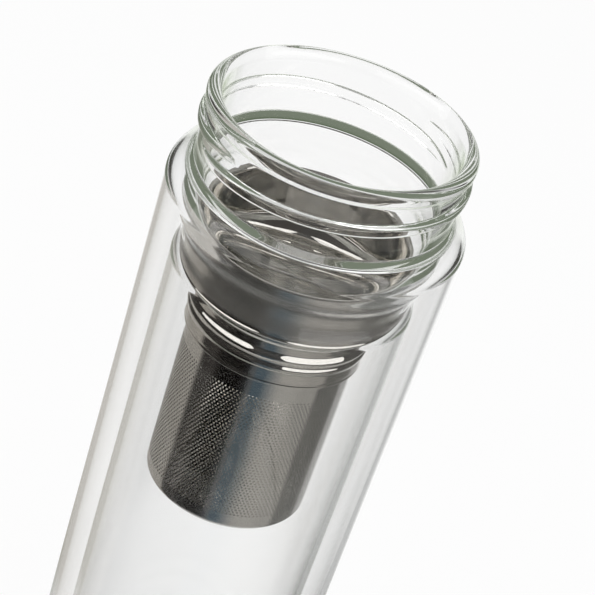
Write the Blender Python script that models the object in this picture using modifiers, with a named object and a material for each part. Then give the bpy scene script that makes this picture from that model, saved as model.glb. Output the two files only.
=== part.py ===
"""Tea infuser bottle: a double-walled glass bottle with a lift-out steel infuser.

The bottle stands on the XY plane with its axis on +Z. The outer glass wall and
the inner glass vessel meet at a ring under the screw neck. The infuser hangs by
its collar's flange on the ledge above the vessel's waist, and lifts straight out.
"""
import math

import bmesh
import bpy
from mathutils import Matrix

# Every size below is in millimetres. MM turns it to metres when a mesh is made.
MM = 0.001

# Clearance between pieces that touch on the real bottle
SEAT_GAP = 0.3

# Outer glass wall
BOTTLE_HEIGHT = 210.0
OUTER_RADIUS = 34.0
OUTER_WALL = 1.5
HEEL_RADIUS = 6.0
FOOT_WIDTH = 7.0
PUNT_HEIGHT = 2.4
PUNT_RUN = 4.0
PIP_RADIUS = 2.6
PIP_DROP = 1.5
SHOULDER_DEPTH = 24.0
SHOULDER_CROWN = 6.8
JOINT_WALL = 1.3
JOINT_FLARE = 3.2
JOINT_HEIGHT = 1.4

# Screw neck and inner glass vessel
NECK_DEPTH = 17.0
NECK_BORE_RADIUS = 26.6
NECK_WALL = 2.6
LIP_WALL = 3.4
LIP_HEIGHT = 2.6
LIP_RUN = 1.0
LEDGE_TOP_DEPTH = 27.0
WAIST_DEPTH = 33.5
WAIST_LENGTH = 2.5
WAIST_BORE_RADIUS = 25.4
VESSEL_SHOULDER_HEIGHT = 5.5
VESSEL_BORE_RADIUS = 26.6
VESSEL_WALL = 1.5
VESSEL_CORNER = 14.0
FLOOR_SPACE = 5.5

# Infuser collar, drawn from one sheet
COLLAR_SHEET = 0.6
FLANGE_WIDTH = 0.7
FLANGE_FILLET = 0.5
BAND_CLEARANCE = 0.4
BAND_HEIGHT = 12.6
BAND_STEP = 0.5
FUNNEL_HEIGHT = 7.2
BEAD_RADIUS = 0.9
SLEEVE_HEIGHT = 4.9

# Perforated basket
BASKET_RADIUS = 20.0
BASKET_SHEET = 0.4
BASKET_LAP = 5.4
BASKET_LENGTH = 50.8
HEM_RADIUS = 1.8
HEM_WIDTH = 1.2
PLAIN_TOP = 5.0
PLAIN_BOTTOM = 4.0
WALL_HOLE_RADIUS = 1.05
WALL_HOLE_ROWS = 8
WALL_HOLES_AROUND = 24
SEAM_AZIMUTH = -21.0
SEAM_WIDTH = 8.0
FLOOR_SHEET = 0.4
FLOOR_HOLE_RADIUS = 1.05
FLOOR_HOLE_PITCH = 4.6
FLOOR_PLAIN_RIM = 1.4

# Facets around the turned glass, the collar and the basket
GLASS_STEPS = 36
COLLAR_STEPS = 40
BASKET_STEPS = 2 * WALL_HOLES_AROUND

# Radii and heights that follow from the sizes above
NECK_RADIUS = NECK_BORE_RADIUS + NECK_WALL
JOINT_BORE_RADIUS = NECK_RADIUS + SEAT_GAP
JOINT_RADIUS = JOINT_BORE_RADIUS + JOINT_WALL
OUTER_BORE_RADIUS = OUTER_RADIUS - OUTER_WALL
WAIST_RADIUS = WAIST_BORE_RADIUS + VESSEL_WALL
VESSEL_RADIUS = VESSEL_BORE_RADIUS + VESSEL_WALL
VESSEL_BOTTOM = PUNT_HEIGHT + OUTER_WALL + FLOOR_SPACE
BAND_RADIUS = WAIST_BORE_RADIUS - BAND_CLEARANCE
FLANGE_RADIUS = BAND_RADIUS + FLANGE_WIDTH
SLEEVE_RADIUS = BASKET_RADIUS + SEAT_GAP + COLLAR_SHEET
BEAD_DEPTH = BAND_HEIGHT + BAND_STEP + FUNNEL_HEIGHT + BEAD_RADIUS
SLEEVE_DEPTH = BEAD_DEPTH + BEAD_RADIUS + SLEEVE_HEIGHT

# Depth below the lip where the ledge's bore has narrowed to the flange
LEDGE_SHARE = (NECK_BORE_RADIUS - FLANGE_RADIUS - SEAT_GAP) / (NECK_BORE_RADIUS - WAIST_BORE_RADIUS)
SEAT_DEPTH = LEDGE_TOP_DEPTH + (WAIST_DEPTH - LEDGE_TOP_DEPTH) * math.acos(1 - 2 * LEDGE_SHARE) / math.pi


def clear_scene():
    """Empty the open file's scene."""
    for obj in list(bpy.data.objects):
        bpy.data.objects.remove(obj, do_unlink=True)
    for collection in list(bpy.data.collections):
        bpy.data.collections.remove(collection)


def new_collection(name):
    collection = bpy.data.collections.new(name)
    bpy.context.scene.collection.children.link(collection)
    return collection


def arc(centre_r, centre_z, radius, start, end, steps):
    """Points of a circular arc in the profile plane, angles in degrees."""
    points = []
    for i in range(steps + 1):
        angle = math.radians(start + (end - start) * i / steps)
        points.append((centre_r + radius * math.cos(angle), centre_z + radius * math.sin(angle)))
    return points


def bezier(p0, p1, p2, p3, steps):
    """Points of a cubic curve from p0 to p3, drawn towards p1 and p2."""
    points = []
    for i in range(steps + 1):
        t = i / steps
        s = 1 - t
        weights = (s ** 3, 3 * s * s * t, 3 * s * t * t, t ** 3)
        points.append(tuple(sum(w * p[k] for w, p in zip(weights, (p0, p1, p2, p3))) for k in (0, 1)))
    return points


def s_curve(start, end, steps):
    """Points of a half-cosine from start to end, upright at both ends."""
    points = []
    for i in range(steps + 1):
        share = i / steps
        swing = (1 - math.cos(math.pi * share)) / 2
        r = start[0] + (end[0] - start[0]) * swing
        z = start[1] + (end[1] - start[1]) * share
        points.append((r, z))
    return points


def principled(name, colour, metallic, roughness, transmission=0.0, ior=1.5):
    """A material with one Principled BSDF."""
    material = bpy.data.materials.new(name)
    material.use_nodes = True
    shader = material.node_tree.nodes["Principled BSDF"]
    shader.inputs["Base Color"].default_value = (*colour, 1.0)
    shader.inputs["Metallic"].default_value = metallic
    shader.inputs["Roughness"].default_value = roughness
    shader.inputs["Transmission Weight"].default_value = transmission
    shader.inputs["IOR"].default_value = ior
    material.diffuse_color = (*colour, 1.0)
    return material


def add_object(name, mesh, collection, material=None, parent=None, height=0.0):
    """An object on the bottle's axis, height millimetres above its parent."""
    obj = bpy.data.objects.new(name, mesh)
    obj.location.z = height * MM
    obj.parent = parent
    collection.objects.link(obj)
    if material:
        mesh.materials.append(material)
    return obj


def turned(name, profile, steps, collection, material, parent=None, height=0.0):
    """A profile of (radius, height) points turned about the axis."""
    mesh = bpy.data.meshes.new(name)
    points = [(r * MM, 0.0, z * MM) for r, z in profile]
    edges = [(i, i + 1) for i in range(len(points) - 1)]
    mesh.from_pydata(points, edges, [])
    obj = add_object(name, mesh, collection, material, parent, height)
    screw = obj.modifiers.new("Turn", "SCREW")
    screw.axis = "Z"
    screw.angle = 2 * math.pi
    screw.steps = steps
    screw.render_steps = steps
    screw.use_merge_vertices = True
    screw.merge_threshold = 0.00001
    screw.use_smooth_shade = True
    return obj


def thicken(obj, sheet):
    """Give a turned outer face its sheet thickness, inwards."""
    solidify = obj.modifiers.new("Sheet", "SOLIDIFY")
    solidify.thickness = sheet * MM
    solidify.offset = -1.0
    solidify.use_even_offset = True


def punch_cutter(name, places, radius, depth, collection, parent, height):
    """One cutter holding a six-sided punch at each place."""
    mesh = bpy.data.meshes.new(name)
    bm = bmesh.new()
    for place in places:
        bmesh.ops.create_cone(
            bm,
            cap_ends=True,
            segments=6,
            radius1=radius * MM,
            radius2=radius * MM,
            depth=depth * MM,
            matrix=place,
        )
    bm.to_mesh(mesh)
    bm.free()
    obj = add_object(name, mesh, collection, None, parent, height)
    obj.hide_render = True
    obj.display_type = "WIRE"
    return obj


def cut(obj, cutter):
    boolean = obj.modifiers.new("Perforate", "BOOLEAN")
    boolean.operation = "DIFFERENCE"
    boolean.solver = "EXACT"
    boolean.object = cutter


def outer_glass_wall(collection, material):
    """Outer tube with its base, punt, sealing pip and shoulder, open at the neck."""
    foot_outer = OUTER_RADIUS - HEEL_RADIUS
    foot_inner = foot_outer - FOOT_WIDTH
    punt_radius = foot_inner - PUNT_RUN
    shoulder = BOTTLE_HEIGHT - SHOULDER_DEPTH
    joint_top = BOTTLE_HEIGHT - NECK_DEPTH + JOINT_HEIGHT
    joint_foot = BOTTLE_HEIGHT - NECK_DEPTH
    inner_heel = HEEL_RADIUS - OUTER_WALL
    inside = [(0.0, PUNT_HEIGHT + OUTER_WALL), (punt_radius, PUNT_HEIGHT + OUTER_WALL)]
    inside += [(foot_inner, OUTER_WALL)]
    inside += arc(foot_outer, HEEL_RADIUS, inner_heel, -90, 0, 3)
    inside += bezier(
        (OUTER_BORE_RADIUS, shoulder),
        (OUTER_BORE_RADIUS, shoulder + SHOULDER_CROWN - OUTER_WALL),
        (JOINT_BORE_RADIUS, joint_foot - JOINT_FLARE - OUTER_WALL),
        (JOINT_BORE_RADIUS, joint_foot - OUTER_WALL),
        5,
    )
    edge = JOINT_WALL / 2
    rim = arc(JOINT_BORE_RADIUS + edge, joint_top - edge, edge, 180, 0, 3)
    outside = bezier(
        (JOINT_RADIUS, joint_foot),
        (JOINT_RADIUS, joint_foot - JOINT_FLARE),
        (OUTER_RADIUS, shoulder + SHOULDER_CROWN),
        (OUTER_RADIUS, shoulder),
        5,
    )
    outside += arc(foot_outer, HEEL_RADIUS, HEEL_RADIUS, 0, -90, 4)
    outside += [(foot_inner, 0.0), (punt_radius, PUNT_HEIGHT)]
    pip_sphere = (PIP_RADIUS ** 2 + PIP_DROP ** 2) / (2 * PIP_DROP)
    pip_centre = PUNT_HEIGHT - PIP_DROP + pip_sphere
    pip_edge = math.degrees(math.acos(PIP_RADIUS / pip_sphere))
    pip = arc(0.0, pip_centre, pip_sphere, -pip_edge, -90, 3)
    return turned("outer_glass_wall", inside + rim + outside + pip, GLASS_STEPS, collection, material)


def inner_glass_vessel(collection, material):
    """Neck, ledge, waist and vessel in one wall, measured down from the lip."""
    floor = VESSEL_BOTTOM - BOTTLE_HEIGHT
    corner_r = VESSEL_BORE_RADIUS - VESSEL_CORNER
    corner_z = floor + VESSEL_WALL + VESSEL_CORNER
    waist_end = -(WAIST_DEPTH + WAIST_LENGTH)
    shoulder_end = waist_end - VESSEL_SHOULDER_HEIGHT
    lip_radius = NECK_BORE_RADIUS + LIP_WALL
    lip_edge = LIP_WALL / 2
    inside = [(0.0, floor + VESSEL_WALL)]
    inside += arc(corner_r, corner_z, VESSEL_CORNER, -90, 0, 4)
    inside += s_curve((VESSEL_BORE_RADIUS, shoulder_end), (WAIST_BORE_RADIUS, waist_end), 4)
    inside += s_curve((WAIST_BORE_RADIUS, -WAIST_DEPTH), (NECK_BORE_RADIUS, -LEDGE_TOP_DEPTH), 5)
    lip = arc(NECK_BORE_RADIUS + lip_edge, -lip_edge, lip_edge, 180, 0, 6)
    outside = [(lip_radius, -LIP_HEIGHT), (NECK_RADIUS, -LIP_HEIGHT - LIP_RUN)]
    outside += s_curve((NECK_RADIUS, -NECK_DEPTH - JOINT_FLARE), (WAIST_RADIUS, -WAIST_DEPTH), 5)
    outside += s_curve((WAIST_RADIUS, waist_end), (VESSEL_RADIUS, shoulder_end), 4)
    outside += arc(corner_r, corner_z, VESSEL_CORNER + VESSEL_WALL, 0, -90, 5)
    outside += [(0.0, floor)]
    return turned(
        "inner_glass_vessel", inside + lip + outside, GLASS_STEPS, collection, material, height=BOTTLE_HEIGHT
    )


def infuser_collar(collection, material, parent):
    """Flange, band, funnel, bead and sleeve, measured down from the flange's seat."""
    step_radius = BAND_RADIUS - BAND_STEP
    run = step_radius - SLEEVE_RADIUS
    sweep = (run ** 2 + FUNNEL_HEIGHT ** 2) / (2 * run)
    funnel_end = math.degrees(math.atan2(-FUNNEL_HEIGHT, sweep - run))
    profile = [(FLANGE_RADIUS, 0.0)]
    profile += arc(BAND_RADIUS + FLANGE_FILLET, -FLANGE_FILLET, FLANGE_FILLET, 90, 180, 2)
    profile += [(BAND_RADIUS, -BAND_HEIGHT)]
    profile += arc(step_radius - sweep, -BAND_HEIGHT - BAND_STEP, sweep, 0, funnel_end, 4)
    profile += arc(SLEEVE_RADIUS, -BEAD_DEPTH, BEAD_RADIUS, 90, -90, 3)[1:]
    profile += [(SLEEVE_RADIUS, -SLEEVE_DEPTH)]
    collar = turned("infuser_collar", profile, COLLAR_STEPS, collection, material, parent)
    thicken(collar, COLLAR_SHEET)
    return collar


def basket_tube(collection, cutters, material, parent):
    """Rolled tube of etched sheet, plain at both ends, with a hem turned in below."""
    top = BASKET_LAP - SLEEVE_DEPTH
    hem_centre = -BASKET_LENGTH + HEM_RADIUS
    profile = [(BASKET_RADIUS, 0.0)]
    profile += arc(BASKET_RADIUS - HEM_RADIUS, hem_centre, HEM_RADIUS, 0, -90, 3)
    profile += [(BASKET_RADIUS - HEM_RADIUS - HEM_WIDTH, -BASKET_LENGTH)]
    tube = turned("basket_tube", profile, BASKET_STEPS, collection, material, parent, top)
    thicken(tube, BASKET_SHEET)

    first_row = -(BASKET_LAP + PLAIN_TOP)
    row_pitch = (BASKET_LENGTH - PLAIN_BOTTOM + first_row) / WALL_HOLE_ROWS
    step = 2 * math.pi / WALL_HOLES_AROUND
    facet = 2 * math.pi / BASKET_STEPS
    seam = math.radians(SEAM_AZIMUTH)
    seam_half = (SEAM_WIDTH / 2 + WALL_HOLE_RADIUS) / BASKET_RADIUS
    places = []
    for row in range(WALL_HOLE_ROWS):
        z = first_row - (row + 0.5) * row_pitch
        for column in range(WALL_HOLES_AROUND):
            azimuth = column * step + facet / 2 + (row % 2) * facet
            if abs(math.remainder(azimuth - seam, 2 * math.pi)) < seam_half:
                continue
            turn = Matrix.Rotation(azimuth, 4, "Z")
            out = Matrix.Translation((BASKET_RADIUS * MM, 0.0, z * MM))
            lay = Matrix.Rotation(math.pi / 2, 4, "Y")
            places.append(turn @ out @ lay)
    depth = 6 * BASKET_SHEET
    cut(tube, punch_cutter("wall_punches", places, WALL_HOLE_RADIUS, depth, cutters, parent, top))
    return tube


def basket_floor(collection, cutters, material, parent):
    """Etched disc that lies on the tube's hem."""
    height = BASKET_LAP - SLEEVE_DEPTH - BASKET_LENGTH + BASKET_SHEET + SEAT_GAP
    radius = BASKET_RADIUS - HEM_RADIUS
    mesh = bpy.data.meshes.new("basket_floor")
    bm = bmesh.new()
    bmesh.ops.create_cone(
        bm,
        cap_ends=True,
        segments=COLLAR_STEPS,
        radius1=radius * MM,
        radius2=radius * MM,
        depth=FLOOR_SHEET * MM,
        matrix=Matrix.Translation((0.0, 0.0, FLOOR_SHEET / 2 * MM)),
    )
    bm.to_mesh(mesh)
    bm.free()
    floor = add_object("basket_floor", mesh, collection, material, parent, height)

    reach = radius - HEM_WIDTH - FLOOR_PLAIN_RIM
    places = []
    rings = int(reach / FLOOR_HOLE_PITCH)
    for ring in range(rings + 1):
        count = max(1, 6 * ring)
        for i in range(count):
            azimuth = 2 * math.pi * i / count
            distance = ring * FLOOR_HOLE_PITCH * MM
            places.append(Matrix.Translation((distance * math.cos(azimuth), distance * math.sin(azimuth), 0.0)))
    depth = 6 * FLOOR_SHEET
    cut(floor, punch_cutter("floor_punches", places, FLOOR_HOLE_RADIUS, depth, cutters, parent, height))
    return floor


def main():
    clear_scene()
    parts = new_collection("tea_infuser_bottle")
    cutters = new_collection("cutters")
    glass = principled("borosilicate_glass", (0.93, 0.96, 0.94), 0.0, 0.02, 1.0, 1.47)
    steel = principled("drawn_stainless_steel", (0.56, 0.55, 0.54), 1.0, 0.22)
    etched = principled("etched_stainless_sheet", (0.50, 0.50, 0.50), 1.0, 0.32)

    outer_glass_wall(parts, glass)
    inner_glass_vessel(parts, glass)

    # The infuser slides out along this empty's Z axis, from the flange's seat
    infuser = bpy.data.objects.new("infuser_lift", None)
    infuser.location.z = (BOTTLE_HEIGHT - SEAT_DEPTH) * MM
    parts.objects.link(infuser)
    infuser_collar(parts, steel, infuser)
    basket_tube(parts, cutters, etched, infuser)
    basket_floor(parts, cutters, etched, infuser)


main()
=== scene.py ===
import math

import bmesh
import bpy
from mathutils import Matrix, Vector


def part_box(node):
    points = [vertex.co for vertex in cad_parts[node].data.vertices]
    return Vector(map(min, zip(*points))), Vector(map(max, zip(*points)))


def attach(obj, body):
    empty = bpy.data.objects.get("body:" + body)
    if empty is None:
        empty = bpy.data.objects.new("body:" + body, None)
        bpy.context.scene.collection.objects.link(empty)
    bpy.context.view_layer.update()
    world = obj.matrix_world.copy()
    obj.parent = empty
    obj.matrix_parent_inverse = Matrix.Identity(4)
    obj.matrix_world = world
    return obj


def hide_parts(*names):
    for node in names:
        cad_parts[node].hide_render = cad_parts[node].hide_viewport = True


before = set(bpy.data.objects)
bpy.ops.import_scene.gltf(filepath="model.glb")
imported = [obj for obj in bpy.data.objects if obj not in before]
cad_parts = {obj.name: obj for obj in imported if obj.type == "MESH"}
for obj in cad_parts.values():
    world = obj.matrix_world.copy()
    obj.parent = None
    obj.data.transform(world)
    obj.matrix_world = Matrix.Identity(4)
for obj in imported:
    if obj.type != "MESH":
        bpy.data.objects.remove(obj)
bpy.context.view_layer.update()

# Sizes are in millimetres, unless a comment says metres, and turn to metres by MM when a mesh is made.
MM = 0.001


def span(node):
    """Outer radius, lowest and highest point of a turned CAD node."""
    low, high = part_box(node)
    return high.x / MM, low.z / MM, high.z / MM


# Sizes read from the frame
OUTER_RADIUS = span("outer_glass_wall")[0]
LIP_RADIUS, VESSEL_BOTTOM, LIP_TOP = span("inner_glass_vessel")
FLANGE_RADIUS, SLEEVE_END, FLANGE_TOP = span("infuser_collar")
BASKET_RADIUS, BASKET_BOTTOM, BASKET_TOP = span("basket_tube")
FLOOR_RADIUS, FLOOR_BOTTOM, FLOOR_TOP = span("basket_floor")

# Glass: the outer tube and its base, with the shoulder and the joint as depths below the lip
OUTER_WALL = 1.5
HEEL_RADIUS = 6.0
FOOT_WIDTH = 7.0
PUNT_HEIGHT = 2.4
PUNT_RUN = 4.0
PIP_RADIUS = 2.6
PIP_DROP = 1.5
PUNT_FILLET = 3.0
FOOT_FILLET = 1.0
SHOULDER_DEPTH = 23.0
SHOULDER_CROWN = 2.5
JOINT_DEPTH = 16.7
JOINT_RUN = 2.7
JOINT_FALL = 2.0
JOINT_FILLET = 0.7

# Glass: the neck, the ledge and the vessel, as depths below the lip
LIP_WALL = 3.4
LIP_HEIGHT = 2.6
LIP_RUN = 1.0
LIP_FILLET = 0.6
NECK_RADIUS = 29.2
NECK_BORE = LIP_RADIUS - LIP_WALL
LEDGE_TOP = 27.0
WAIST_TOP = 33.5
WAIST_LENGTH = 2.5
WAIST_BORE = 25.4
VESSEL_SHOULDER = 5.5
VESSEL_BORE = 26.6
VESSEL_WALL = 1.5
VESSEL_CORNER = 14.0

# Top of the sealed space: up the leaning neck wall, over its crown and out to the tube.
# Each pull is how far the curve's handle reaches from its end.
LEDGE_GLASS = 1.2
LEDGE_LAP = 0.5
LEDGE_PULL = 1.4
NECK_LEAN = 0.9
NECK_PULL = 4.2
CROWN_RUN = 0.8
CROWN_RISE = 3.7
CROWN_BEND = 1.1
CROWN_PULL = 0.15
BEND_PULL = 0.1
ROOF_RADIUS = 31.0
ROOF_DROP = 0.7
ROOF_PULL = 1.8

# Where light runs far inside the thick glass of the neck, as depths below the joint
OLIVE_START = 4.0
OLIVE_FULL = 1.5

# Mirrorings after which light counts as trapped in the glass
TRAPPED_AFTER = 3.5

# Screw thread: two ridges, each a little over half a turn, rising to the right
THREAD_STARTS = (26.0, 206.0)
THREAD_SWEEP = 206.0
THREAD_LOW = 11.3
THREAD_HIGH = 6.4
THREAD_CREST = 1.2
THREAD_WIDTH = 3.0
THREAD_TAPER = 26.0
THREAD_TIP = 0.35
THREAD_ROW = 0.16
THREAD_GAP = 0.4

# Steel collar: flange and band, whose foot ends in a thin ridge
COLLAR_SHEET = 0.6
BAND_RADIUS = 25.0
FLANGE_FILLET = 0.5
BAND_HEIGHT = 12.6
RIDGE_WIDTH = 0.8
RIDGE_RISE = 0.2
RIDGE_ROWS = 12

# Steel collar: rounded step and funnel. Pairs are how far in and how far down from the band's foot.
STEP_PULLS = ((0.0, 0.6), (0.3, 0.8))
STEP_END = (1.1, 1.2)
FUNNEL_PULL = (2.7, 2.0)
THROAT_DROP = 5.0
THROAT_PULL = 2.6
THROAT_EASE = 0.1

# Steel collar: the sleeve, with its bead, swell and hem line as depths below the flange's seat
SLEEVE_RADIUS = 21.1
SLEEVE_EDGE = 0.25
SLEEVE_ROW = 0.12
BEAD_DEPTH = 19.5
BEAD_ABOVE = 1.6
BEAD_BELOW = 1.5
BEAD_RISE = 0.6
SWELL_DEPTH = 22.2
SWELL_HALF = 1.3
SWELL_RISE = 0.3
HEM_DEPTH = 26.1
HEM_HALF = 0.5
HEM_GROOVE = 0.065

# Steel's finish: length of the tool lines, and the film's edge as heights above the band's foot
LINE_LENGTH = 25.0
FILM_START = 0.8
FILM_FULL = 2.0

# Etched basket
SHEET = 0.4
HEM_RADIUS = 1.8
HEM_WIDTH = 1.2
MESH_TOP = 147.7
MESH_BOTTOM = 111.4
MESH_MARGIN = 0.5
HOLE_PITCH = 0.92
HOLE_RADIUS = 0.28
HOLE_SIDES = 6
SEAM_AZIMUTH = -21.0
SEAM_WIDTH = 8.0
FLOOR_PLAIN_RIM = 1.4
FLOOR_SIDES = 96
WELD = 0.001

# Studio: the paper sweep, the white wall in compass degrees, and the lamps' watts
SWEEP_RADIUS = 3000.0
SWEEP_DEPTH = 0.2
WHITE_WALL = 87.0
WHITE_HALF = 27.0
WHITE_FADE = 31.0
SOFTBOX_POWER = 5.0

# Studio, in metres: where the lamps aim, and how far out the cards and the room begin on the floor
SOFTBOX_AIM = (0.0, 0.0, 0.15)
CARDS_BEGIN = (0.06, 0.08)
ROOM_BEGINS = (0.33, 0.42)

# Camera, in metres and degrees
CAMERA_PLACE = (0.0, -0.30904, 0.37031)
CAMERA_PAN = 0.49
CAMERA_PITCH = 33.97
CAMERA_ROLL = 18.92
CAMERA_LENS = 99.35
CAMERA_SENSOR = 36.0

# Facets around the turned pieces
GLASS_STEPS = 216
STEEL_STEPS = 192
SWEEP_STEPS = 64


def arc(centre_r, centre_z, radius, start, end, steps):
    """Points of a circular arc in the profile plane, angles in degrees."""
    points = []
    for i in range(steps + 1):
        angle = math.radians(start + (end - start) * i / steps)
        points.append((centre_r + radius * math.cos(angle), centre_z + radius * math.sin(angle)))
    return points


def bezier(p0, p1, p2, p3, steps):
    """Points of a cubic curve from p0 to p3, drawn towards p1 and p2."""
    points = []
    for i in range(steps + 1):
        t = i / steps
        s = 1 - t
        weights = (s ** 3, 3 * s * s * t, 3 * s * t * t, t ** 3)
        points.append(tuple(sum(w * p[k] for w, p in zip(weights, (p0, p1, p2, p3))) for k in (0, 1)))
    return points


def s_curve(start, end, steps):
    """Points of a half-cosine from start to end, upright at both ends."""
    points = []
    for i in range(steps + 1):
        share = i / steps
        swing = (1 - math.cos(math.pi * share)) / 2
        points.append((start[0] + (end[0] - start[0]) * swing, start[1] + (end[1] - start[1]) * share))
    return points


def fillet(before, corner, after, radius, steps=4):
    """Points that round the corner between two straight runs of a profile."""
    centre = Vector(corner)
    back = (Vector(before) - centre).normalized()
    on = (Vector(after) - centre).normalized()
    reach = radius / math.tan(back.angle(on) / 2)
    start = centre + back * reach
    end = centre + on * reach
    points = []
    for i in range(steps + 1):
        t = i / steps
        points.append(tuple(start * (1 - t) ** 2 + centre * 2 * t * (1 - t) + end * t * t))
    return points


def inset(points, distance):
    """A profile moved to its left by a sheet's thickness."""
    moved = []
    for i, point in enumerate(points):
        ahead = Vector(points[min(i + 1, len(points) - 1)])
        behind = Vector(points[max(i - 1, 0)])
        along = (ahead - behind).normalized()
        moved.append((point[0] - along.y * distance, point[1] + along.x * distance))
    return moved


def bridge(bm, lower, upper):
    """Join two rings of vertices, either of which may be a single vertex on the axis."""
    count = max(len(lower), len(upper))
    for i in range(count):
        j = (i + 1) % count
        corners = [lower[i % len(lower)], lower[j % len(lower)], upper[j % len(upper)], upper[i % len(upper)]]
        bm.faces.new(list(dict.fromkeys(corners)))


def ring(bm, azimuths, radius, height):
    """One ring of vertices, or one vertex where the radius is nil."""
    if radius < 1e-6:
        return [bm.verts.new((0.0, 0.0, height * MM))]
    verts = []
    for azimuth in azimuths:
        x, y = radius * math.cos(azimuth), radius * math.sin(azimuth)
        verts.append(bm.verts.new((x * MM, y * MM, height * MM)))
    return verts


def turn(bm, profile, steps, closed=False, relief=None):
    """Turn a profile about the axis. The material lies on the profile's left."""
    azimuths = [2 * math.pi * i / steps for i in range(steps)]
    rings = []
    for radius, height in profile:
        verts = ring(bm, azimuths, radius, height)
        if relief:
            for azimuth, vert in zip(azimuths, verts):
                raised = radius + relief(azimuth, radius, height)
                vert.co.x = raised * math.cos(azimuth) * MM
                vert.co.y = raised * math.sin(azimuth) * MM
        rings.append(verts)
    if closed:
        rings.append(rings[0])
    for lower, upper in zip(rings, rings[1:]):
        bridge(bm, lower, upper)


def piece(name, bm, material, body, sharp_angle=50.0):
    """Make the mesh an object that rides on a body of the frame."""
    mesh = bpy.data.meshes.new(name)
    bm.to_mesh(mesh)
    bm.free()
    mesh.materials.append(material)
    mesh.shade_smooth()
    mesh.set_sharp_from_angle(angle=math.radians(sharp_angle))
    obj = bpy.data.objects.new(name, mesh)
    bpy.context.scene.collection.objects.link(obj)
    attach(obj, body)
    return obj


def linear(hex_colour):
    """An sRGB hex colour as linear RGBA."""
    channels = [int(hex_colour[i:i + 2], 16) / 255 for i in (1, 3, 5)]
    return (*[c / 12.92 if c <= 0.04045 else ((c + 0.055) / 1.055) ** 2.4 for c in channels], 1.0)


def add(tree, kind, settings=None, **links):
    """Add a node with its settings, then set or link each named input."""
    node = tree.nodes.new("ShaderNode" + kind)
    for name, value in (settings or {}).items():
        setattr(node, name, value)
    for name, value in links.items():
        key = int(name[1:]) if name[1:].isdigit() else name.replace("_", " ")
        socket = node.inputs[key]
        if isinstance(value, bpy.types.NodeSocket):
            tree.links.new(value, socket)
        else:
            socket.default_value = value
    return node


def new_material(name):
    """An empty node material and its output node."""
    material = bpy.data.materials.new(name)
    material.use_nodes = True
    tree = material.node_tree
    tree.nodes.clear()
    return material, tree, tree.nodes.new("ShaderNodeOutputMaterial")


def borosilicate_glass():
    """Clear borosilicate, blown and fire polished: no grain, and olive at the thick neck's edges."""
    material, tree, output = new_material("borosilicate_glass")
    place = add(tree, "TexCoord")
    parts = add(tree, "SeparateXYZ", Vector=place.outputs["Object"])
    neck = add(
        tree,
        "MapRange",
        Value=parts.outputs["Z"],
        From_Min=(LIP_TOP - JOINT_DEPTH - OLIVE_START) * MM,
        From_Max=(LIP_TOP - JOINT_DEPTH - OLIVE_FULL) * MM,
    )
    layer = add(tree, "LayerWeight", Blend=0.5)
    edge = add(tree, "MapRange", Value=layer.outputs["Facing"], From_Min=0.55, From_Max=0.95)
    share = add(tree, "Math", {"operation": "MULTIPLY"}, i0=neck.outputs["Result"], i1=edge.outputs["Result"])
    clear, olive = linear("#ffffff"), linear("#9bae80")
    skin = add(tree, "Mix", {"data_type": "RGBA"}, i0=share.outputs["Value"], i6=clear, i7=olive)
    path = add(tree, "LightPath")
    # A faint glow stands for light trapped in the wall, beyond the mirrorings that a renderer follows
    depth = path.outputs["Glossy Depth"]
    trapped = add(tree, "Math", {"operation": "GREATER_THAN"}, i0=depth, i1=TRAPPED_AFTER)
    shader = add(
        tree,
        "BsdfPrincipled",
        Base_Color=skin.outputs[2],
        Roughness=0.0,
        IOR=1.47,
        Specular_Tint=linear("#b4b4b4"),
        Transmission_Weight=1.0,
        Emission_Color=linear("#585e53"),
        Emission_Strength=trapped.outputs["Value"],
    )
    tint = add(tree, "VolumeAbsorption", Color=linear("#8fa878"), Density=4.0)
    tree.links.new(shader.outputs["BSDF"], output.inputs["Surface"])
    tree.links.new(tint.outputs["Volume"], output.inputs["Volume"])
    return material


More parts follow.
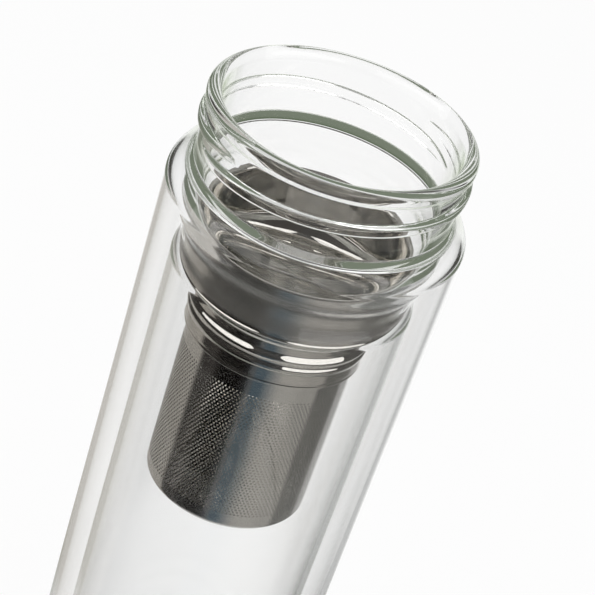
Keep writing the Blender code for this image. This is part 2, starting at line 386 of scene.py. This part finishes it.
def stainless_steel(name, colour, roughness, grain, satin=0.0, film=0.0):
    """Stainless steel, shiny, with faint tool lines around the axis that make its gloss a little uneven.

    The grain is the lines' spacing in mm. From the band's foot up, a pale film takes off some of the
    mirror shine, and the outside there is rubbed satin.
    """
    material, tree, output = new_material(name)
    place = add(tree, "TexCoord")
    around = 1.0 / (LINE_LENGTH * MM)
    lines = add(tree, "Mapping", Vector=place.outputs["Object"], Scale=(around, around, 1.0 / (grain * MM)))
    noise = add(tree, "TexNoise", Vector=lines.outputs["Vector"], Scale=1.0, Detail=3.0, Roughness=0.6)
    worn = add(
        tree,
        "MapRange",
        Value=noise.outputs["Fac"],
        From_Min=0.3,
        From_Max=0.7,
        To_Min=roughness * 0.7,
        To_Max=roughness * 1.4,
    )
    parts = add(tree, "SeparateXYZ", Vector=place.outputs["Object"])
    band_foot = FLANGE_TOP - COLLAR_SHEET - BAND_HEIGHT
    band = add(
        tree,
        "MapRange",
        Value=parts.outputs["Z"],
        From_Min=(band_foot + FILM_START) * MM,
        From_Max=(band_foot + FILM_FULL) * MM,
    )
    flat = add(tree, "CombineXYZ", X=parts.outputs["X"], Y=parts.outputs["Y"])
    radius = add(tree, "VectorMath", {"operation": "LENGTH"}, i0=flat.outputs["Vector"])
    middle = (BAND_RADIUS - COLLAR_SHEET / 2) * MM
    outside = add(tree, "Math", {"operation": "GREATER_THAN"}, i0=radius.outputs["Value"], i1=middle)
    rubbed = add(
        tree,
        "Math",
        {"operation": "MULTIPLY"},
        i0=band.outputs["Result"],
        i1=outside.outputs["Value"],
    )
    dull = add(
        tree,
        "Math",
        {"operation": "MULTIPLY_ADD"},
        i0=rubbed.outputs["Value"],
        i1=satin,
        i2=worn.outputs["Result"],
    )
    bare = add(tree, "Math", {"operation": "MULTIPLY_ADD"}, i0=band.outputs["Result"], i1=-film, i2=1.0)
    bump = add(tree, "Bump", Height=noise.outputs["Fac"], Strength=0.02, Distance=0.01 * MM)
    shader = add(
        tree,
        "BsdfPrincipled",
        Base_Color=linear(colour),
        Metallic=bare.outputs["Value"],
        Roughness=dull.outputs["Value"],
        Normal=bump.outputs["Normal"],
    )
    tree.links.new(shader.outputs["BSDF"], output.inputs["Surface"])
    return material


def glass_skin():
    """Profile of all the glass that air or hand can reach, from the base's centre to the vessel's floor."""
    foot_outer = OUTER_RADIUS - HEEL_RADIUS
    foot_inner = foot_outer - FOOT_WIDTH
    punt_radius = foot_inner - PUNT_RUN
    pip_sphere = (PIP_RADIUS ** 2 + PIP_DROP ** 2) / (2 * PIP_DROP)
    pip_edge = math.degrees(math.acos(PIP_RADIUS / pip_sphere))
    points = arc(0.0, PUNT_HEIGHT - PIP_DROP + pip_sphere, pip_sphere, -90, -pip_edge, steps=8)
    punt = (punt_radius, PUNT_HEIGHT)
    foot = (foot_inner, 0.0)
    points += fillet((PIP_RADIUS, PUNT_HEIGHT), punt, foot, PUNT_FILLET)
    points += fillet(punt, foot, (foot_outer, 0.0), FOOT_FILLET)
    points += arc(foot_outer, HEEL_RADIUS, HEEL_RADIUS, -90, 0, steps=16)

    shoulder = LIP_TOP - SHOULDER_DEPTH
    joint = LIP_TOP - JOINT_DEPTH
    slope = bezier(
        (OUTER_RADIUS, shoulder),
        (OUTER_RADIUS, shoulder + SHOULDER_CROWN),
        (NECK_RADIUS + JOINT_RUN, joint - JOINT_FALL),
        (NECK_RADIUS, joint),
        steps=28,
    )
    # The fillet takes the place of the slope's last three points
    points += slope[:-3]
    points += fillet(slope[-4], slope[-1], (NECK_RADIUS, LIP_TOP), JOINT_FILLET)

    lip_under = LIP_TOP - LIP_HEIGHT
    lip_foot = (NECK_RADIUS, lip_under - LIP_RUN)
    thread_low = LIP_TOP - THREAD_LOW - THREAD_WIDTH
    rows = int((lip_foot[1] - THREAD_GAP - thread_low) / THREAD_ROW)
    points += [(NECK_RADIUS, thread_low + THREAD_ROW * i) for i in range(rows)]
    lip_side = (LIP_RADIUS, lip_under)
    points += fillet((NECK_RADIUS, thread_low), lip_foot, lip_side, LIP_FILLET)
    points += fillet(lip_foot, lip_side, (LIP_RADIUS, LIP_TOP), LIP_FILLET)
    half = LIP_WALL / 2
    points += arc(NECK_BORE + half, LIP_TOP - half, half, 0, 180, steps=20)

    waist = LIP_TOP - WAIST_TOP
    waist_end = waist - WAIST_LENGTH
    shoulder_end = waist_end - VESSEL_SHOULDER
    points += s_curve((NECK_BORE, LIP_TOP - LEDGE_TOP), (WAIST_BORE, waist), steps=16)
    points += s_curve((WAIST_BORE, waist_end), (VESSEL_BORE, shoulder_end), steps=14)
    floor = VESSEL_BOTTOM + VESSEL_WALL
    points += arc(VESSEL_BORE - VESSEL_CORNER, floor + VESSEL_CORNER, VESSEL_CORNER, 0, -90, steps=20)
    return points + [(0.0, floor)]


def glass_cavity():
    """Profile of the sealed space between the walls, from under the vessel to the base."""
    corner_r = VESSEL_BORE - VESSEL_CORNER
    corner = VESSEL_CORNER + VESSEL_WALL
    vessel_radius = VESSEL_BORE + VESSEL_WALL
    waist_radius = WAIST_BORE + VESSEL_WALL
    waist = LIP_TOP - WAIST_TOP
    waist_end = waist - WAIST_LENGTH
    shoulder_end = waist_end - VESSEL_SHOULDER
    points = [(0.0, VESSEL_BOTTOM)]
    points += arc(corner_r, VESSEL_BOTTOM + corner, corner, -90, 0, steps=20)
    points += s_curve((vessel_radius, shoulder_end), (waist_radius, waist_end), steps=14)
    ledge = LIP_TOP - LEDGE_TOP - LEDGE_GLASS
    points += s_curve((waist_radius, waist - LEDGE_LAP), (NECK_RADIUS, ledge), steps=16)
    bore = OUTER_RADIUS - OUTER_WALL
    shoulder = LIP_TOP - SHOULDER_DEPTH
    crown = (NECK_RADIUS + CROWN_RUN, shoulder + CROWN_RISE)
    neck_wall = (NECK_RADIUS - NECK_LEAN, crown[1] - CROWN_BEND)
    points += bezier(
        (NECK_RADIUS, ledge),
        (NECK_RADIUS, ledge + LEDGE_PULL),
        (neck_wall[0], neck_wall[1] - NECK_PULL),
        neck_wall,
        steps=14,
    )[1:]
    points += bezier(
        neck_wall,
        (neck_wall[0], crown[1] - BEND_PULL),
        (neck_wall[0] + CROWN_RUN, crown[1] + CROWN_PULL),
        crown,
        steps=12,
    )[1:]
    points += bezier(
        crown,
        (ROOF_RADIUS, crown[1] - ROOF_DROP),
        (bore, shoulder + ROOF_PULL),
        (bore, shoulder),
        steps=16,
    )[1:]
    heel = HEEL_RADIUS - OUTER_WALL
    foot_outer = OUTER_RADIUS - HEEL_RADIUS
    foot_inner = foot_outer - FOOT_WIDTH
    punt_radius = foot_inner - PUNT_RUN
    points += arc(foot_outer, HEEL_RADIUS, heel, 0, -90, steps=12)
    foot = (foot_inner, OUTER_WALL)
    punt = (punt_radius, PUNT_HEIGHT + OUTER_WALL)
    points += fillet((foot_outer, OUTER_WALL), foot, punt, FOOT_FILLET)
    points += fillet(foot, punt, (0.0, PUNT_HEIGHT + OUTER_WALL), PUNT_FILLET)
    return points + [(0.0, PUNT_HEIGHT + OUTER_WALL)]


def thread_relief(azimuth, radius, height):
    """How far the screw thread stands out of the neck at a place on it."""
    depth = LIP_TOP - height
    if abs(radius - NECK_RADIUS) > 0.01 or depth > JOINT_DEPTH:
        return 0.0
    raised = 0.0
    for start in THREAD_STARTS:
        along = (math.degrees(azimuth) - start) % 360
        if along > THREAD_SWEEP:
            continue
        share = along / THREAD_SWEEP
        centre = THREAD_LOW + (THREAD_HIGH - THREAD_LOW) * share
        end = min(1.0, along / THREAD_TAPER, (THREAD_SWEEP - along) / THREAD_TAPER)
        swell = math.sin(end * math.pi / 2)
        narrowed = THREAD_TIP + (1 - THREAD_TIP) * swell
        across = (depth - centre) / (THREAD_WIDTH / 2 * narrowed)
        if abs(across) < 1:
            raised = max(raised, THREAD_CREST * swell * (1 - across ** 4))
    return raised


def glass_bottle(glass):
    """Both walls as the one piece of glass that they are, with the sealed cavity inside."""
    bm = bmesh.new()
    turn(bm, glass_skin(), GLASS_STEPS, relief=thread_relief)
    turn(bm, glass_cavity(), GLASS_STEPS)
    bottle = piece("glass_bottle", bm, glass, "bottle", sharp_angle=80.0)
    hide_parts("outer_glass_wall", "inner_glass_vessel")
    return bottle


def ripple(depth, centre, above, below, rise):
    """Soft swelling of a turned wall: highest at its centre, nothing beyond its two ends."""
    run = above if depth < centre else below
    share = min(abs(depth - centre) / run, 1.0)
    return rise * (1 + math.cos(math.pi * share)) / 2


def steel_collar(steel):
    """Flange, band, step, funnel, bead and sleeve, drawn from one sheet."""
    seat = FLANGE_TOP - COLLAR_SHEET
    foot = seat - BAND_HEIGHT
    throat = foot - THROAT_DROP
    outer = [(FLANGE_RADIUS, seat)]
    outer += arc(BAND_RADIUS + FLANGE_FILLET, seat - FLANGE_FILLET, FLANGE_FILLET, 90, 180, steps=8)
    ridge_half = RIDGE_WIDTH / 2
    for row in range(RIDGE_ROWS + 1):
        height = foot + RIDGE_WIDTH * (1 - row / RIDGE_ROWS)
        lift = ripple(height, foot + ridge_half, ridge_half, ridge_half, RIDGE_RISE)
        outer.append((BAND_RADIUS + lift, height))

    def from_foot(run):
        return BAND_RADIUS - run[0], foot - run[1]

    step = [from_foot(run) for run in (*STEP_PULLS, STEP_END)]
    outer += bezier((BAND_RADIUS, foot), *step, steps=8)[1:]
    outer += bezier(
        step[-1],
        from_foot(FUNNEL_PULL),
        (SLEEVE_RADIUS + THROAT_EASE, throat + THROAT_PULL),
        (SLEEVE_RADIUS + THROAT_EASE, throat),
        steps=20,
    )[1:-1]
    for row in range(round((throat - SLEEVE_END - SLEEVE_EDGE) / SLEEVE_ROW)):
        height = throat - row * SLEEVE_ROW
        depth = seat - height
        lift = ripple(depth, BEAD_DEPTH, BEAD_ABOVE, BEAD_BELOW, BEAD_RISE)
        lift += ripple(depth, SWELL_DEPTH, SWELL_HALF, SWELL_HALF, SWELL_RISE)
        lift -= ripple(depth, HEM_DEPTH, HEM_HALF, HEM_HALF, HEM_GROOVE)
        outer.append((SLEEVE_RADIUS + lift, height))
    outer += arc(SLEEVE_RADIUS - SLEEVE_EDGE, SLEEVE_END + SLEEVE_EDGE, SLEEVE_EDGE, 0, -80, steps=6)
    outer.reverse()
    inner = inset(outer, COLLAR_SHEET)
    inner.reverse()
    bm = bmesh.new()
    turn(bm, outer + inner, STEEL_STEPS, closed=True)
    collar = piece("steel_collar", bm, steel, "infuser")
    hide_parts("infuser_collar")
    return collar


def etched_tube(steel):
    """Tube of etched sheet: staggered round holes, plain bands at both ends, a plain seam, a turned hem."""
    columns = round(2 * math.pi * BASKET_RADIUS / HOLE_PITCH)
    row_pitch = HOLE_PITCH * math.sin(math.pi / 3)
    rows = int((MESH_TOP - MESH_BOTTOM) / row_pitch)
    half_seam = math.degrees(SEAM_WIDTH / 2 / BASKET_RADIUS)
    bm = bmesh.new()

    def cell(row, column, radius):
        """Six corners of one hole's place on the sheet, anticlockwise from the upper right."""
        azimuth = 2 * math.pi * (column + (row % 2) / 2) / columns
        height = MESH_TOP - HOLE_RADIUS - row * row_pitch
        corners = []
        for k in range(HOLE_SIDES):
            angle = math.radians(30 + 60 * k)
            around = azimuth + HOLE_RADIUS * math.cos(angle) / BASKET_RADIUS
            level = (height + HOLE_RADIUS * math.sin(angle)) * MM
            x, y = radius * math.cos(around), radius * math.sin(around)
            corners.append(bm.verts.new((x * MM, y * MM, level)))
        return corners

    def is_plain(row, column):
        """True where the seam's plain strip takes the hole's place."""
        azimuth = 360 * (column + (row % 2) / 2) / columns
        return abs((azimuth - SEAM_AZIMUTH + 180) % 360 - 180) < half_seam

    sides = {}
    for side, radius in (("outer", BASKET_RADIUS), ("inner", BASKET_RADIUS - SHEET)):
        sides[side] = [[cell(row, column, radius) for column in range(columns)] for row in range(rows)]

    for side, cells in sides.items():
        def face(*corners):
            bm.faces.new(corners if side == "outer" else corners[::-1])

        for row in range(rows):
            for column in range(columns):
                here = cells[row][column]
                beside = cells[row][(column + 1) % columns]
                face(here[5], beside[3], beside[2], here[0])
                if is_plain(row, column):
                    face(*here)
                if row + 1 == rows:
                    continue
                left = cells[row + 1][(column - 1 + row % 2) % columns]
                right = cells[row + 1][(column + row % 2) % columns]
                face(here[3], left[1], left[0], here[4])
                face(here[4], right[2], right[1], here[5])
                face(here[4], left[0], right[2])
                face(here[5], right[1], beside[3])

    for row in range(rows):
        for column in range(columns):
            if is_plain(row, column):
                continue
            outer = sides["outer"][row][column]
            inner = sides["inner"][row][column]
            for k in range(HOLE_SIDES):
                on = (k + 1) % HOLE_SIDES
                bm.faces.new((outer[k], outer[on], inner[on], inner[k]))

    def edge_ring(side, row, corners):
        """The mesh's upper or lower edge: the same corners of every hole in a row."""
        return [sides[side][row][column][k] for column in range(columns) for k in corners]

    def close(start, profile, end):
        """Plain sheet from one edge of the mesh to the same edge on the other side."""
        azimuths = [math.atan2(vert.co.y, vert.co.x) for vert in start]
        rings = [start] + [ring(bm, azimuths, radius, height) for radius, height in profile] + [end]
        for lower, upper in zip(rings, rings[1:]):
            bridge(bm, lower, upper)

    inner_radius = BASKET_RADIUS - SHEET
    top = [(BASKET_RADIUS, MESH_TOP + MESH_MARGIN), (BASKET_RADIUS, BASKET_TOP)]
    top += [(inner_radius, BASKET_TOP), (inner_radius, MESH_TOP + MESH_MARGIN)]
    close(edge_ring("outer", 0, (2, 1, 0)), top, edge_ring("inner", 0, (2, 1, 0)))
    hem_r = BASKET_RADIUS - HEM_RADIUS
    hem_z = BASKET_BOTTOM + HEM_RADIUS
    bottom = arc(hem_r, hem_z, HEM_RADIUS - SHEET, 0, -90, steps=6)
    bottom += [(hem_r - HEM_WIDTH, BASKET_BOTTOM + SHEET), (hem_r - HEM_WIDTH, BASKET_BOTTOM)]
    bottom += arc(hem_r, hem_z, HEM_RADIUS, -90, 0, steps=8)
    close(edge_ring("inner", rows - 1, (3, 4, 5)), bottom, edge_ring("outer", rows - 1, (3, 4, 5)))
    tube = piece("etched_tube", bm, steel, "infuser")
    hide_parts("basket_tube")
    return tube


def etched_disc(steel):
    """Basket floor: a disc cut out of the same etched sheet."""
    curve = bpy.data.curves.new("etched_disc", "CURVE")
    curve.dimensions = "2D"
    curve.fill_mode = "BOTH"
    curve.extrude = (FLOOR_TOP - FLOOR_BOTTOM) / 2 * MM
    loops = [(0.0, 0.0, FLOOR_RADIUS, FLOOR_SIDES)]
    reach = FLOOR_RADIUS - HEM_WIDTH - FLOOR_PLAIN_RIM
    row_pitch = HOLE_PITCH * math.sin(math.pi / 3)
    rows = int(reach / row_pitch)
    columns = int(reach / HOLE_PITCH) + 1
    for row in range(-rows, rows + 1):
        for column in range(-columns, columns + 1):
            x = (column + (row % 2) / 2) * HOLE_PITCH
            y = row * row_pitch
            if math.hypot(x, y) < reach:
                loops.append((x, y, HOLE_RADIUS, HOLE_SIDES))
    for x, y, radius, count in loops:
        spline = curve.splines.new("POLY")
        spline.points.add(count - 1)
        spline.use_cyclic_u = True
        for i, point in enumerate(spline.points):
            angle = 2 * math.pi * i / count
            across = (x + radius * math.cos(angle)) * MM
            along = (y + radius * math.sin(angle)) * MM
            point.co = (across, along, 0.0, 1.0)
    flat = bpy.data.objects.new("etched_disc_outline", curve)
    bm = bmesh.new()
    bm.from_mesh(flat.to_mesh())
    bpy.data.objects.remove(flat)
    bmesh.ops.remove_doubles(bm, verts=bm.verts, dist=WELD * MM)
    middle = (FLOOR_TOP + FLOOR_BOTTOM) / 2 * MM
    bmesh.ops.translate(bm, verts=bm.verts, vec=(0.0, 0.0, middle))
    disc = piece("etched_disc", bm, steel, "infuser", sharp_angle=30.0)
    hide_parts("basket_floor")
    return disc


def studio_bands(tree, direction):
    """What shiny surfaces see around the bottle, by compass direction.

    The first colour is that of the cards and flags that lie on the floor around the bottle. The second is
    that of the room behind them, which is dark but for one white wall.
    """
    parts = add(tree, "SeparateXYZ", Vector=direction)
    azimuth = add(tree, "Math", {"operation": "ARCTAN2"}, i0=parts.outputs["Y"], i1=parts.outputs["X"])
    turned = add(
        tree,
        "MapRange",
        Value=azimuth.outputs["Value"],
        From_Min=-math.pi,
        From_Max=math.pi,
        To_Min=0.0,
        To_Max=1.0,
    )
    ramp = add(tree, "ValToRGB", Fac=turned.outputs["Result"])
    # Start and end of each card in degrees, and its colour. Between cards the colours run into each other.
    cards = (
        (-180.0, -175.0, "#bcb8b2"),
        (-168.0, -150.0, "#3e3b39"),
        (-138.0, -104.0, "#0e0d0d"),
        (-98.0, -96.0, "#5f6366"),
        (-93.0, -84.0, "#556570"),
        (-62.0, -45.0, "#b8b6b2"),
        (-30.0, -13.0, "#a9a7a3"),
        (-6.0, 28.0, "#5c5c59"),
        (36.0, 50.0, "#b8b8b8"),
        (60.0, 117.0, "#ffffff"),
        (122.0, 180.0, "#bcb8b2"),
    )
    stops = [(degrees, colour) for start, end, colour in cards for degrees in (start, end)]
    elements = ramp.color_ramp.elements
    while len(elements) < len(stops):
        elements.new(1.0)
    for element, (degrees, colour) in zip(elements, stops):
        element.position = (degrees + 180.0) / 360.0
        element.color = linear(colour)
    centre = math.radians(WHITE_WALL)
    aside = add(tree, "Math", {"operation": "SUBTRACT"}, i0=azimuth.outputs["Value"], i1=centre)
    off = add(tree, "Math", {"operation": "ABSOLUTE"}, i0=aside.outputs["Value"])
    edge = add(
        tree,
        "MapRange",
        Value=off.outputs["Value"],
        From_Min=math.radians(WHITE_HALF),
        From_Max=math.radians(WHITE_FADE),
    )
    white, dark = linear("#ffffff"), linear("#3a3836")
    room = add(tree, "Mix", {"data_type": "RGBA"}, i0=edge.outputs["Result"], i6=white, i7=dark)
    return ramp.outputs["Color"], room.outputs[2]


def reflected_share(tree):
    """How much of the dim studio a ray meets, in place of plain white.

    All of it once a surface has mirrored the ray, less when another mirrors it on, and none for what is
    seen straight or through glass.
    """
    path = add(tree, "LightPath")
    depth = path.outputs["Glossy Depth"]
    mirrored = add(tree, "Math", {"operation": "GREATER_THAN"}, i0=depth, i1=0.5)
    again = add(tree, "MapRange", Value=depth, From_Min=1.0, From_Max=2.0, To_Min=1.0, To_Max=0.3)
    share = add(
        tree,
        "Math",
        {"operation": "MULTIPLY"},
        i0=mirrored.outputs["Value"],
        i1=again.outputs["Result"],
    )
    return path, share.outputs["Value"]


def seen_share(tree, path):
    """One for camera, mirrored and refracted rays, nil for the light that falls on matt surfaces."""
    straight = path.outputs["Is Camera Ray"]
    glossy = path.outputs["Is Glossy Ray"]
    through = path.outputs["Is Transmission Ray"]
    shiny = add(tree, "Math", {"operation": "MAXIMUM"}, i0=straight, i1=glossy)
    clear = add(tree, "Math", {"operation": "MAXIMUM"}, i0=shiny.outputs["Value"], i1=through)
    return clear.outputs["Value"]


def studio_world():
    """White around the bottle, walls and a dim ceiling in its mirror images, even light on matt surfaces."""
    world = bpy.data.worlds.new("studio")
    bpy.context.scene.world = world
    world.use_nodes = True
    tree = world.node_tree
    tree.nodes.clear()
    place = add(tree, "TexCoord")
    room = studio_bands(tree, place.outputs["Generated"])[1]
    parts = add(tree, "SeparateXYZ", Vector=place.outputs["Generated"])
    rise = add(tree, "MapRange", Value=parts.outputs["Z"], From_Min=0.2, From_Max=0.5)
    white, ceiling = linear("#ffffff"), linear("#555351")
    walls = add(tree, "Mix", {"data_type": "RGBA"}, i0=rise.outputs["Result"], i6=room, i7=ceiling)
    path, mirrored = reflected_share(tree)
    colour = add(tree, "Mix", {"data_type": "RGBA"}, i0=mirrored, i6=white, i7=walls.outputs[2])
    shown = add(tree, "Background", Color=colour.outputs[2], Strength=1.0)
    ambient = add(tree, "Background", Color=white, Strength=0.5)
    mix = add(tree, "MixShader", i0=seen_share(tree, path), i1=ambient.outputs[0], i2=shown.outputs[0])
    output = tree.nodes.new("ShaderNodeOutputWorld")
    tree.links.new(mix.outputs[0], output.inputs["Surface"])


def studio_floor():
    """Plain white paper sweep: matt where it keeps the soft shadow, with the studio in its mirror images."""
    bm = bmesh.new()
    turn(bm, [(SWEEP_RADIUS, -SWEEP_DEPTH), (0.0, -SWEEP_DEPTH)], SWEEP_STEPS)
    mesh = bpy.data.meshes.new("studio_floor")
    bm.to_mesh(mesh)
    bm.free()
    floor = bpy.data.objects.new("studio_floor", mesh)
    bpy.context.scene.collection.objects.link(floor)
    material, tree, output = new_material("white_paper_sweep")
    place = add(tree, "TexCoord")
    bands, room = studio_bands(tree, place.outputs["Object"])
    reach = add(tree, "VectorMath", {"operation": "LENGTH"}, Vector=place.outputs["Object"])
    near_start, near_end = CARDS_BEGIN
    near = add(tree, "MapRange", Value=reach.outputs["Value"], From_Min=near_start, From_Max=near_end)
    far_start, far_end = ROOM_BEGINS
    far = add(tree, "MapRange", Value=reach.outputs["Value"], From_Min=far_start, From_Max=far_end)
    white, foot = linear("#ffffff"), linear("#e6e6e6")
    table = add(tree, "Mix", {"data_type": "RGBA"}, i0=near.outputs["Result"], i6=foot, i7=bands)
    walls = add(tree, "Mix", {"data_type": "RGBA"}, i0=far.outputs["Result"], i6=table.outputs[2], i7=room)
    path, mirrored = reflected_share(tree)
    colour = add(tree, "Mix", {"data_type": "RGBA"}, i0=mirrored, i6=white, i7=walls.outputs[2])
    glow = add(tree, "Emission", Color=colour.outputs[2], Strength=1.0)
    paper = add(tree, "BsdfDiffuse", Color=linear("#f4f4f4"))
    # Seen straight, a little of the matt paper is left in, and with it the bottle's shadow
    shine = add(tree, "MapRange", Value=mirrored, To_Min=0.93, To_Max=1.0)
    keep = add(tree, "Math", {"operation": "MULTIPLY"}, i0=seen_share(tree, path), i1=shine.outputs["Result"])
    mix = add(tree, "MixShader", i0=keep.outputs["Value"], i1=paper.outputs[0], i2=glow.outputs[0])
    tree.links.new(mix.outputs[0], output.inputs["Surface"])
    mesh.materials.append(material)


def softbox(name, place, width, height):
    """A soft rectangular lamp aimed at the bottle, not seen by the camera itself. Sizes are in metres."""
    light = bpy.data.lights.new(name, "AREA")
    light.shape = "RECTANGLE"
    light.size = width
    light.size_y = height
    light.energy = SOFTBOX_POWER
    lamp = bpy.data.objects.new(name, light)
    lamp.location = place
    lamp.rotation_euler = (Vector(SOFTBOX_AIM) - Vector(place)).to_track_quat("-Z", "Y").to_euler()
    lamp.visible_camera = False
    bpy.context.scene.collection.objects.link(lamp)


def camera():
    """The photograph's viewpoint: above the mouth, rolled, with a long lens."""
    data = bpy.data.cameras.new("camera")
    data.lens = CAMERA_LENS
    data.sensor_width = CAMERA_SENSOR
    obj = bpy.data.objects.new("camera", data)
    turn_left = Matrix.Rotation(math.radians(-CAMERA_PAN), 4, "Z")
    tip = Matrix.Rotation(math.radians(90.0 - CAMERA_PITCH), 4, "X")
    roll = Matrix.Rotation(math.radians(CAMERA_ROLL), 4, "Z")
    obj.matrix_world = Matrix.Translation(CAMERA_PLACE) @ turn_left @ tip @ roll
    bpy.context.scene.collection.objects.link(obj)
    bpy.context.scene.camera = obj


camera()
glass_bottle(borosilicate_glass())
drawn_steel = stainless_steel(
    "drawn_stainless_steel", "#cac7c2", roughness=0.035, grain=0.12, satin=0.2, film=0.14
)
steel_collar(drawn_steel)
etched_steel = stainless_steel("etched_stainless_steel", "#c8c6c2", roughness=0.05, grain=0.2)
etched_tube(etched_steel)
etched_disc(etched_steel)
studio_world()
studio_floor()
softbox("left_softbox", (-0.60, -0.45, 0.62), width=1.20, height=0.75)
softbox("right_softbox", (0.61, -0.44, 0.42), width=1.10, height=0.85)
bpy.context.scene.view_settings.view_transform = "Standard"
